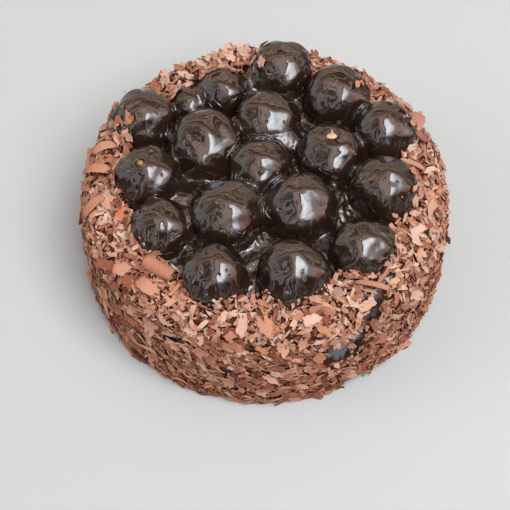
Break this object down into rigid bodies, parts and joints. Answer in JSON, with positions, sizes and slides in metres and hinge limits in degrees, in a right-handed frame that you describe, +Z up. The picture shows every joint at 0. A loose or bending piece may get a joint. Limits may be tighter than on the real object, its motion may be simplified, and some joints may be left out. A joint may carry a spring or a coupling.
{
  "type": "profiterole cake",
  "caption": "Round cake topped with chocolate-glazed profiteroles standing in a pool of dark glaze, its side and rim coated in milk chocolate shavings",
  "frame": {"origin": "middle of the flat underside", "axes": "+Z up through the middle of the cake; the cake is round, and the small profiterole stands towards -X and +Y"},
  "size_m": [0.2443, 0.2446, 0.1162],
  "materials": {
    "shavings_coat": "rough flakes, satin",
    "dark_glaze": "mirror gloss",
    "milk_chocolate": "satin"
  },
  "bodies": {
    "root": {"cake_body": "shavings_coat", "glaze_pool": "dark_glaze", "puff_01": "dark_glaze", "puff_02": "dark_glaze", "puff_03": "dark_glaze", "puff_04": "dark_glaze", "puff_05": "dark_glaze", "puff_06": "dark_glaze", "puff_07": "dark_glaze", "puff_08": "dark_glaze", "puff_09": "dark_glaze", "puff_10": "dark_glaze", "puff_11": "dark_glaze", "puff_12": "dark_glaze", "puff_13": "dark_glaze", "puff_14": "dark_glaze", "puff_15": "dark_glaze", "puff_16": "dark_glaze", "puff_17": "dark_glaze", "puff_18": "dark_glaze", "curl_01": "milk_chocolate", "curl_02": "milk_chocolate", "curl_03": "milk_chocolate", "curl_04": "milk_chocolate", "curl_05": "milk_chocolate", "curl_06": "milk_chocolate", "curl_07": "milk_chocolate", "curl_08": "milk_chocolate", "curl_09": "milk_chocolate", "curl_10": "milk_chocolate", "curl_11": "milk_chocolate", "curl_12": "milk_chocolate"}
  },
  "joints": []
}
